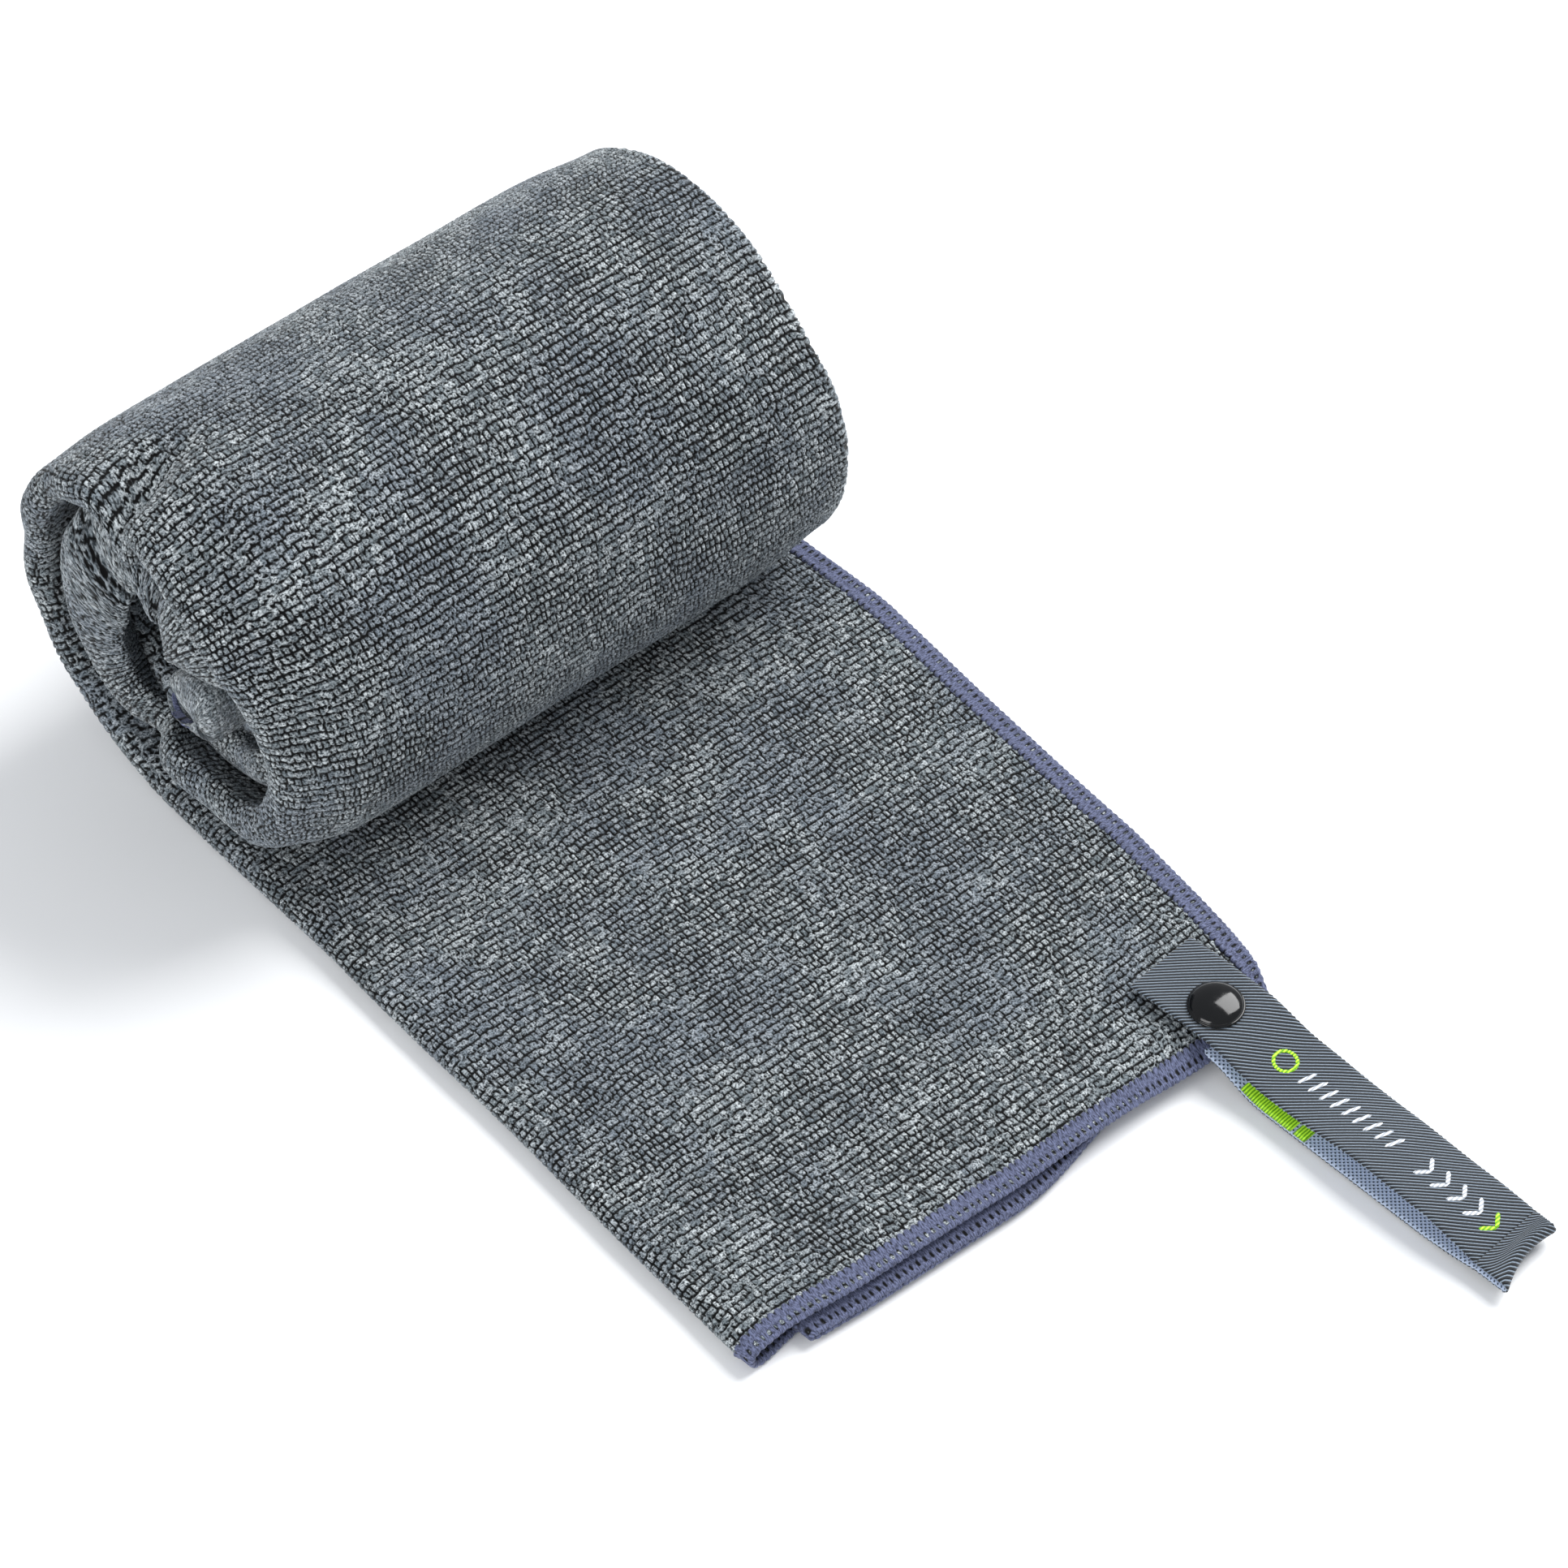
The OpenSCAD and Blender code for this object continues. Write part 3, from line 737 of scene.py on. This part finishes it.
# Stretches of the roll: name, the half turns where it starts and ends, step along it, places across it
ROLLED = [("roll_outer_1", 0.0, 0.42, 0.62, BEHIND), ("roll_outer_2", 0.42, 0.8, 0.52, BEHIND),
          ("roll_outer_3", 0.8, 1.2, 0.42, SEEN), ("roll_outer_4", 1.2, 1.6, 0.42, SEEN),
          ("roll_outer_5", 1.6, 2.0, 0.42, SEEN), ("roll_inner_1", 2.0, 3.0, 0.48, INSIDE),
          ("roll_inner_2", 3.0, 4.0, 0.48, INSIDE), ("roll_inner_3", 4.0, 7.0, 0.8, DEEPER),
          ("roll_inner_4", 7.0, 10.0, 0.8, DEEPER), ("roll_inner_5", 10.0, LAST_HALF, 0.42, INSIDE)]


def towel():
    """The cloth in stretches along its length, so that each piece's mesh stays small."""
    made = {}
    for name, start, end, step, shift in FLAT:
        made[name] = cloth_stretch(name, spread(start, end, step), FLAT_FRONT, BACK, shift)
    for name, first, last, step, front in ROLLED:
        along = spread(length_at(first), length_at(last), step)
        made[name] = cloth_stretch(name, along, front, BACK, roll_shift)
    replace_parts(made["flat_cloth_front"], "flat_run")
    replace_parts(made["roll_outer_1"], "roll_turn_1")
    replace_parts(made["roll_inner_1"], "roll_turn_2")
    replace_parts(made["roll_inner_3"], "roll_turn_3", "roll_turn_4")
    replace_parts(made["roll_inner_4"], "roll_turn_5")
    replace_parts(made["roll_inner_5"], "roll_core")


# ---- Overlocked edges ------------------------------------------------------------------

STITCH = 1.8  # from one stitch to the next
# Across the edge, from the hem's inner side over its outer edge to the back: distance out from
# the edge, height from the cloth's middle, share of the bead, the hole and the chain there
HEM_FACE = [(-4.7, 0.4, 1, 0, 0), (-4.65, 0.8, 1, 0, 0), (-4.3, 1.05, 1, 0, 0), (-3.8, 0.95, 0.6, 0, 0),
            (-3.3, 0.9, 0, 0, 0), (-2.8, 0.92, 0, 0, 0), (-2.4, 0.9, 0, 0.3, 0), (-1.9, 0.87, 0, 1, 0),
            (-1.4, 0.82, 0, 1, 0), (-1.0, 0.78, 0, 0.8, 0), (-0.6, 0.74, 0, 0, 0.6), (-0.2, 0.55, 0, 0, 1),
            (0.05, 0.22, 0, 0, 1)]


def overlock(name, ts, at, shift, coarse=False):
    """Overlock stitching along an edge; at(t, out) gives s and v of places out from the edge."""
    face = np.array(HEM_FACE[::2] if coarse else HEM_FACE)
    profile = np.concatenate([face, face[::-1] * [1, -1, 1, 1, 1]])
    t = ts[:, None]
    out, high, bead, hole, chain = [profile[None, :, k] + 0 * t for k in range(5)]
    phase = t / STITCH + 0.12 * hashed(np.floor(t / STITCH), np.floor(t / STITCH) * 0, 61)
    arch = np.abs(np.sin(math.pi * phase))
    out = out - 0.55 * bead * (arch - 0.5) + 0.3 * chain * (arch - 0.4)
    between = 0.5 - np.abs(np.mod(phase, 1.0) - 0.5)
    notch = hole * bell(between, 0.2) + 0.8 * bead * bell(between, 0.14)
    high = high * (1 + 0.45 * bead * arch) - np.sign(high) * 0.5 * hole * notch
    high = high + np.sign(high) * 0.05 * np.sin(math.tau * t / 0.6 + out) * (1 - chain)
    s, v = at(t + 0 * out, out)
    middle = cloth_point(s, v, 0.0, shift)
    normal = cloth_point(s, v, 1.0, shift) - cloth_point(s, v, -1.0, shift)
    normal = normal / np.linalg.norm(normal, axis=2, keepdims=True)
    points = middle + normal * high[:, :, None]
    obj = closed_tube(name, points, flat_cap(points.shape[1]), THREAD, inward(points))
    # The notches between stitches are dented above and carry painted shade, near black, in the thread's
    # material
    set_values(obj, "groove_shade", notch)
    set_uv(obj, t + 0 * out, np.cumsum(np.abs(np.gradient(out, axis=1)) + 0.3, axis=1))
    return finish_mesh(obj)


def front_edge(t, out):
    """The cloth's s and v for a place t along its free end's edge, out from it."""
    return -out, t


def far_edge(t, out):
    """The same for its far end's edge."""
    return CLOTH_L + out, t


def upper_edge(t, out):
    """The same for the long edge of the top layer."""
    return t, -out


def lower_edge(t, out):
    """The same for the long edge of the layer under it."""
    return t, WIDTH_END + out


HEM_START = 3.6  # the side hems start under the front hem's stitches
ROLL_COVERS = 172  # the roll hides the flat run from here on
FINE, COARSE = 0.3, 1.0  # steps along the stitches


def hems():
    """Overlock stitching round all four edges of the cloth."""
    front = widths((0.3, FOLD_END + 22, FINE), (FOLD_END + 22, THIRD_END - 3, COARSE),
                   (THIRD_END - 3, WIDTH_END - 0.3, FINE))
    far = widths((0.3, TOP_END - 25, COARSE), (TOP_END - 25, FOLD_END + 25, FINE),
                 (FOLD_END + 25, WIDTH_END - 0.3, COARSE))
    flat = np.concatenate([spread(HEM_START, ROLL_COVERS, FINE), spread(ROLL_COVERS, RUN, 1.2)[1:]])
    turn = spread(RUN, length_at(2.0), 0.45)
    rest = spread(length_at(2.0), CLOTH_L - HEM_START, 0.9)
    front_hem = overlock("front_hem", front, front_edge, flat_shift)
    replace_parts(front_hem, "front_hem_outer", "front_hem_inner")
    upper = overlock("side_hem_top_layer", flat, upper_edge, flat_to_roll)
    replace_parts(upper, "side_hem_upper")
    lower = overlock("side_hem_next_layer", flat, lower_edge, flat_to_roll)
    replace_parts(lower, "side_hem_lower")
    rolled = overlock("rolled_hem_top_layer", turn, upper_edge, roll_shift)
    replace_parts(rolled, "roll_side_hem")
    overlock("rolled_hem_next_layer", turn, lower_edge, roll_shift)
    overlock("wound_hem_top_layer", rest, upper_edge, roll_shift, coarse=True)
    overlock("wound_hem_next_layer", rest, lower_edge, roll_shift, coarse=True)
    far_hem = overlock("far_end_hem_thread", far, far_edge, roll_shift)
    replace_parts(far_hem, "far_end_hem")


# ---- Hanging loop ------------------------------------------------------------------------

SNAP_X, SNAP_Y = (cap_low[:2] + cap_high[:2]) / 2
TURNED = math.radians(5)  # the loop points this far away from the towel's length
RIBBON_W, RIBBON_T = 19.0, 0.8
HALF_W = RIBBON_W / 2
RIBBON_OFF = 1.2  # the ribbon's middle line runs this far beside the snap
FOLD_X = 90.13  # the fold at the tip, from the snap
FOLD_Z = (tip_low[2] + tip_high[2]) / 2
FOLD_R = 1.1
BEND_X = FOLD_X - 9.0  # where both plies go over into the fold
SMOOTHING = 5.0  # corners of the two lines below are rounded over this length
# Middle line of each ply: distance from the snap, height
UPPER_LINE = [(-18, 8.9), (-12, 9.6), (-6, 10.0), (7, 10.0), (18.2, 7.0), (33.2, 6.6), (49.2, 7.3), (70, 6.3),
              (BEND_X, FOLD_Z + FOLD_R), (FOLD_X + 9, FOLD_Z + FOLD_R)]
LOWER_LINE = [(-10, 5.4), (8.2, 5.2), (18.2, 0.6), (66, 0.5), (75, 1.2), (BEND_X, FOLD_Z - FOLD_R),
              (FOLD_X + 9, FOLD_Z - FOLD_R)]


def smooth_height(line, x):
    """Height of a line at x, with its corners rounded."""
    xs, zs = np.array(line).T
    around = np.linspace(-1, 1, 9) * SMOOTHING
    weight = np.cos(around / SMOOTHING * math.pi / 2) + 0.05
    reach = np.clip(BEND_X - x, 0, SMOOTHING)[..., None] / SMOOTHING
    return (np.interp(x[..., None] + around * reach, xs, zs) * weight).sum(-1) / weight.sum()


def local_place(x, y, z):
    """From the loop's own frame, x along it from the snap and y across it, to the towel's."""
    c, n = math.cos(TURNED), math.sin(TURNED)
    return np.stack([SNAP_X + x * c - y * n, SNAP_Y + x * n + y * c, z], -1)


def tip_curve(y):
    """How far the tip is drawn in between its corners."""
    y = y - RIBBON_OFF
    return 2.9 + 0.17 * y + 2.0 * (1 - (y / HALF_W) ** 2)


def raised(line, lift, x, y, high):
    """A point of a ply that lies lift above its line, moved by high along the line's normal."""
    slope = smooth_height(line, x + 0.5) - smooth_height(line, x - 0.5)
    lean = np.sqrt(1 + slope ** 2)
    return x - high * slope / lean, y, smooth_height(line, x) + lift + high / lean


def upper_ply(x, y, high=0.0):
    """A point on the upper ply, which tilts and bulges slightly along its length."""
    tilt = (y - RIBBON_OFF) / HALF_W
    near_side = -1.3 * tilt * ramp(x, 22, 48) * ramp(x, 84, 62)
    belly = 0.35 * (1 - tilt ** 2) * ramp(x, 22, 40) * ramp(x, 86, 66)
    return raised(UPPER_LINE, near_side + belly, x, y, high)


def lower_ply(x, y, high=0.0):
    """A point on the lower ply."""
    return raised(LOWER_LINE, 0.0, x, y, high)


def bend(t, y, high=0.0):
    """The ribbon round the tip: t from 0 at the end of the lower ply to 1 at the start of the upper."""
    straight = FOLD_X - BEND_X
    total = 2 * straight + math.pi * FOLD_R
    d = t * total
    angle = np.clip((d - straight) / FOLD_R, 0, math.pi)
    r = FOLD_R + high
    drawn = tip_curve(y) * ramp(np.minimum(d, total - d), 0, straight + 0.8)
    x = np.where(d < straight, BEND_X + d, np.where(d > total - straight, BEND_X + total - d, FOLD_X))
    return x + r * np.sin(angle) - drawn, y, FOLD_Z - r * np.cos(angle)


ACROSS = 27  # points across each face of the ribbon


def ribbon_piece(name, ts, surface, face_up, uv_from, body):
    """A stretch of ribbon: face_up is +1 where the twill face is on the raised side."""
    y = np.linspace(-HALF_W, HALF_W, ACROSS) + RIBBON_OFF
    y[0] += 0.05
    high = np.repeat([RIBBON_T / 2, -RIBBON_T / 2], ACROSS)
    high[[0, ACROSS - 1, ACROSS, -1]] *= 0.45
    t, columns = np.meshgrid(ts, np.concatenate([y, y[::-1]]), indexing="ij")
    # A selvedge's picks stand out a little at every second thread
    edge = np.abs(np.abs(columns - RIBBON_OFF) - HALF_W) < 0.06
    length = uv_from(t)
    picks = np.sign(columns - RIBBON_OFF) * 0.14 * np.sin(math.tau * length / 1.1)
    columns = columns + np.where(edge, picks, 0)
    points = local_place(*surface(t, columns, high + 0 * t))
    obj = closed_tube(name, points, flat_cap(2 * ACROSS), TWILL, inward(points))
    obj.data.materials.append(REVERSE)
    column = np.tile(np.arange(2 * ACROSS), len(ts) - 1)
    reverse = (column >= ACROSS) & (column < 2 * ACROSS - 1) if face_up > 0 else column < ACROSS - 1
    index = np.zeros(len(obj.data.polygons), np.int32)
    index[: len(reverse)] = reverse
    obj.data.polygons.foreach_set("material_index", index)
    set_uv(obj, length, columns)
    finish_mesh(obj, body)
    return obj


FIGURE_H = 0.16  # how far the figures stand up
RINGS, SIDES = 9, 8  # of points along and round each woven figure


def satin_bar(surface, start, end, width):
    """Points and flat places of one raised woven figure along a line in the ribbon's frame."""
    start, end = np.array(start), np.array(end)
    along = (end - start) / np.linalg.norm(end - start)
    side = np.array([-along[1], along[0]])
    t, angle = np.meshgrid(np.linspace(0, 1, RINGS), np.linspace(0, math.tau, SIDES + 1)[:-1], indexing="ij")
    full = np.sqrt(np.clip(1 - (np.abs(t - 0.5) * 2) ** 6, 0.03, 1))
    across = np.cos(angle) * width / 2 * full
    flat = start + (end - start) * t[..., None] + side * across[..., None]
    high = RIBBON_T / 2 - 0.02 + np.maximum(np.sin(angle), -0.4) * FIGURE_H * full
    points = local_place(*surface(flat[..., 0], flat[..., 1], high))
    return points.reshape(-1, 3), flat.reshape(-1, 2)


def woven_figures(name, surface, bars, material, body):
    """Raised woven figures on the ribbon as one piece; each is (start, end, width)."""
    made = [satin_bar(surface, *bar) for bar in bars]
    each = RINGS * SIDES
    k = np.arange(1, SIDES - 1)
    first, last = np.stack([0 * k, k, k + 1], -1), np.stack([0 * k, k + 1, k], -1) + each - SIDES
    quads = np.concatenate([ring_faces(RINGS, SIDES)[:, ::-1] + i * each for i in range(len(bars))])
    caps = np.concatenate([np.concatenate([first, last]) + i * each for i in range(len(bars))])
    points, flat = (np.concatenate(part) for part in zip(*made))
    obj = mixed_object(name, points, quads, caps, material)
    set_uv(obj, flat[:, 0], flat[:, 1])
    return finish_mesh(obj, body)


def loop():
    """The ribbon, doubled over at its tip."""
    lower_run, upper_run = spread(-9.2, BEND_X, 0.6), spread(-17, BEND_X, 0.6)
    lower = ribbon_piece("loop_lower_ribbon", lower_run, lower_ply, -1, lambda t: t, "towel")
    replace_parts(lower, "loop_lower_ply")
    upper = ribbon_piece("loop_upper_ribbon", upper_run, upper_ply, 1, lambda t: -t, "loop_flap")
    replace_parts(upper, "loop_upper_ply")
    reach = 2 * (FOLD_X - BEND_X) + math.pi * FOLD_R
    tip = ribbon_piece("loop_tip_ribbon", np.linspace(0, 1, 34), bend, 1, lambda t: t * reach, None)
    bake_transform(tip)
    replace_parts(tip, "loop_fold")


# Where the ring, the slanted bars and the chevrons are along the ribbon, and how many there are
RING_X, RING_R, RING_PARTS = 19, 2.7, 12
ROW_X, ROW_STEP, ROW_COUNT = 25.2, 3.1, 9
CHEVRON_X, CHEVRON_STEP, CHEVRON_COUNT = 59, 4.6, 5


def marks():
    """A plain ring, a row of slanted bars and a row of chevrons, woven into the upper ply."""
    middle = RIBBON_OFF
    ring, slanted, chevrons = [], [], []
    for k in range(RING_PARTS):
        ends = [math.tau * (k + past) / RING_PARTS for past in (-0.08, 1.08)]
        ring.append(([RING_X + RING_R * math.cos(ends[0]), middle + RING_R * math.sin(ends[0])],
                     [RING_X + RING_R * math.cos(ends[1]), middle + RING_R * math.sin(ends[1])], 0.9))
    for k in range(ROW_COUNT):
        x = ROW_X + ROW_STEP * k
        slanted.append(((x - 0.7, middle - 2.4), (x + 0.7, middle + 2.4), 0.95))
    for k in range(CHEVRON_COUNT):
        x = CHEVRON_X + CHEVRON_STEP * k
        chevrons.append(((x - 1.2, middle - 3.1), (x + 1.2, middle), 1.05))
        chevrons.append(((x + 1.2, middle), (x - 1.2, middle + 3.1), 1.05))
    lime = woven_figures("woven_ring", upper_ply, ring + chevrons[-2:], LIME, "loop_flap")
    woven_figures("woven_rows", upper_ply, slanted + chevrons[:-2], WHITE, "loop_flap")
    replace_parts(lime, "woven_mark")


BLOCK_ACROSS = 14  # points across each face of a block


def woven_block(name, start, length):
    """A satin block across the lower ply, with the threads raised."""
    half = HALF_W - 0.25
    y = np.linspace(-half, half, BLOCK_ACROSS) + RIBBON_OFF
    x, columns = np.meshgrid(spread(start, start + length, 0.15), np.concatenate([y, y[::-1]]), indexing="ij")
    end = ramp(np.minimum(x - start, start + length - x), 0, 0.3)
    rise = 0.1 + (0.16 + 0.05 * np.cos(math.tau * x / 0.45)) * end
    top = np.arange(2 * BLOCK_ACROSS) < BLOCK_ACROSS
    high = RIBBON_T / 2 + np.where(top, rise, -0.15)
    high = np.where(np.abs(np.abs(columns - RIBBON_OFF) - half) < 0.01, RIBBON_T / 2 - 0.02, high)
    points = local_place(*lower_ply(x, columns, high))
    obj = closed_tube(name, points, flat_cap(2 * BLOCK_ACROSS), LIME, inward(points))
    set_uv(obj, x, columns)
    return finish_mesh(obj)


# ---- Snap ----------------------------------------------------------------------------------


CAP_H = 2.6
# The cap's outline from its top to the end of its pin: radius, height above the ribbon
CAP_OUTLINE = [(0.0, 2.6), (1.0, 2.57), (2.0, 2.48), (3.0, 2.31), (4.0, 2.05), (4.8, 1.74), (5.4, 1.4),
               (5.72, 1.1), (5.86, 0.86), (5.9, 0.74), (5.98, 0.68), (6.12, 0.68), (6.24, 0.6), (6.3, 0.42),
               (6.26, 0.2), (6.1, 0.06), (5.8, 0.0), (4.0, -0.02), (1.4, -0.02), (1.36, -0.3), (1.3, -1.05),
               (1.0, -1.1), (0.0, -1.1)]


def turned(name, profile, place_at, material):
    """A turned piece: an outline of (radius, height) from top to bottom, spun by a Screw modifier."""
    mesh = bpy.data.meshes.new(name)
    edges = [(i, i + 1) for i in range(len(profile) - 1)]
    mesh.from_pydata([(r * MM, 0, z * MM) for r, z in profile], edges, [])
    obj = bpy.data.objects.new(name, mesh)
    bpy.context.scene.collection.objects.link(obj)
    screw = obj.modifiers.new("turn", "SCREW")
    screw.steps = screw.render_steps = 72
    screw.use_merge_vertices = True
    screw.merge_threshold = 0.00001
    screw.use_smooth_shade = True
    graph = bpy.context.evaluated_depsgraph_get()
    finished = bpy.data.meshes.new_from_object(obj.evaluated_get(graph))
    obj.modifiers.clear()
    obj.data = finished
    for vertex in finished.vertices:
        vertex.co.x += place_at[0] * MM
        vertex.co.y += place_at[1] * MM
    finished.materials.clear()
    finished.materials.append(material)
    return obj


def recolour(node, material):
    """Gives one of the frame's own shapes a material."""
    materials = bpy.data.objects[node].data.materials
    materials.clear()
    materials.append(material)


def snap():
    """A domed cap on the ribbon; the socket, stud, post and bar tack keep the frame's shapes."""
    base = cap_high[2] - CAP_H
    cap = turned("snap_domed_cap", [(r, z + base) for r, z in CAP_OUTLINE], (SNAP_X, SNAP_Y), BLACK)
    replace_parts(cap, "snap_cap")
    finish_mesh(cap, "loop_flap")
    for node in ("snap_socket", "snap_stud", "snap_post"):
        recolour(node, BLACK)
    recolour("loop_bar_tack", THREAD)


# ---- Studio --------------------------------------------------------------------------------

# Lights: name, place, the point it is turned to, watts, size in metres
LIGHTS = [("key", (-0.05, 1.15, 1.3), (-0.03, 0.0, 0.0), 42, 1.2),
          ("fill", (0.3, -1.4, 0.8), (0.0, 0.0, 0.0), 17, 1.0)]
CAMERA_AT, CAMERA_TO, CAMERA_LENS = (0.74397, -0.62635, 1.23104), (-0.03815, 0.03155, 0.0), 167.5
SKY = 0.55
FLOOR_HALF = 4000  # half the floor's side
FLOOR_DROP = 0.0005  # metres


def aimed(name, data, location, target):
    """An object at a place, with its -Z axis turned to a point."""
    obj = bpy.data.objects.new(name, data)
    bpy.context.scene.collection.objects.link(obj)
    obj.location = location
    obj.rotation_euler = (Vector(target) - Vector(location)).to_track_quat("-Z", "Y").to_euler()
    return obj


def studio():
    """A pale floor, two soft lights and a camera with a long lens."""
    material, tree = new_material("pale_floor")
    finish_material(tree, Base_Color=colour("F4F5F6"), Roughness=0.8)
    corners = [[x * FLOOR_HALF, y * FLOOR_HALF, 0] for x, y in ((-1, -1), (1, -1), (1, 1), (-1, 1))]
    floor = mixed_object("floor", corners, np.arange(4)[None], np.empty((0, 3), int), material)
    floor.location.z = -FLOOR_DROP
    world = bpy.data.worlds.new("soft_world")
    bpy.context.scene.world = world
    world.use_nodes = True
    background = world.node_tree.nodes["Background"]
    background.inputs[0].default_value = colour("F2F5FA")
    background.inputs[1].default_value = SKY
    for name, location, target, watts, size in LIGHTS:
        light = bpy.data.lights.new(name, "AREA")
        light.energy, light.shape, light.size = watts, "SQUARE", size
        aimed(name, light, location, target)
    bpy.context.scene.view_settings.view_transform = "Standard"
    camera = bpy.data.cameras.new("camera")
    camera.sensor_width, camera.lens = 36, CAMERA_LENS
    camera.clip_start, camera.clip_end = 0.05, 20
    bpy.context.scene.camera = aimed("camera", camera, CAMERA_AT, CAMERA_TO)


studio()
towel()
hems()
loop()
marks()
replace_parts(woven_block("woven_block_long", 14.7, 14.5), "woven_bars")
woven_block("woven_block_short", 29.9, 3.3)
snap()
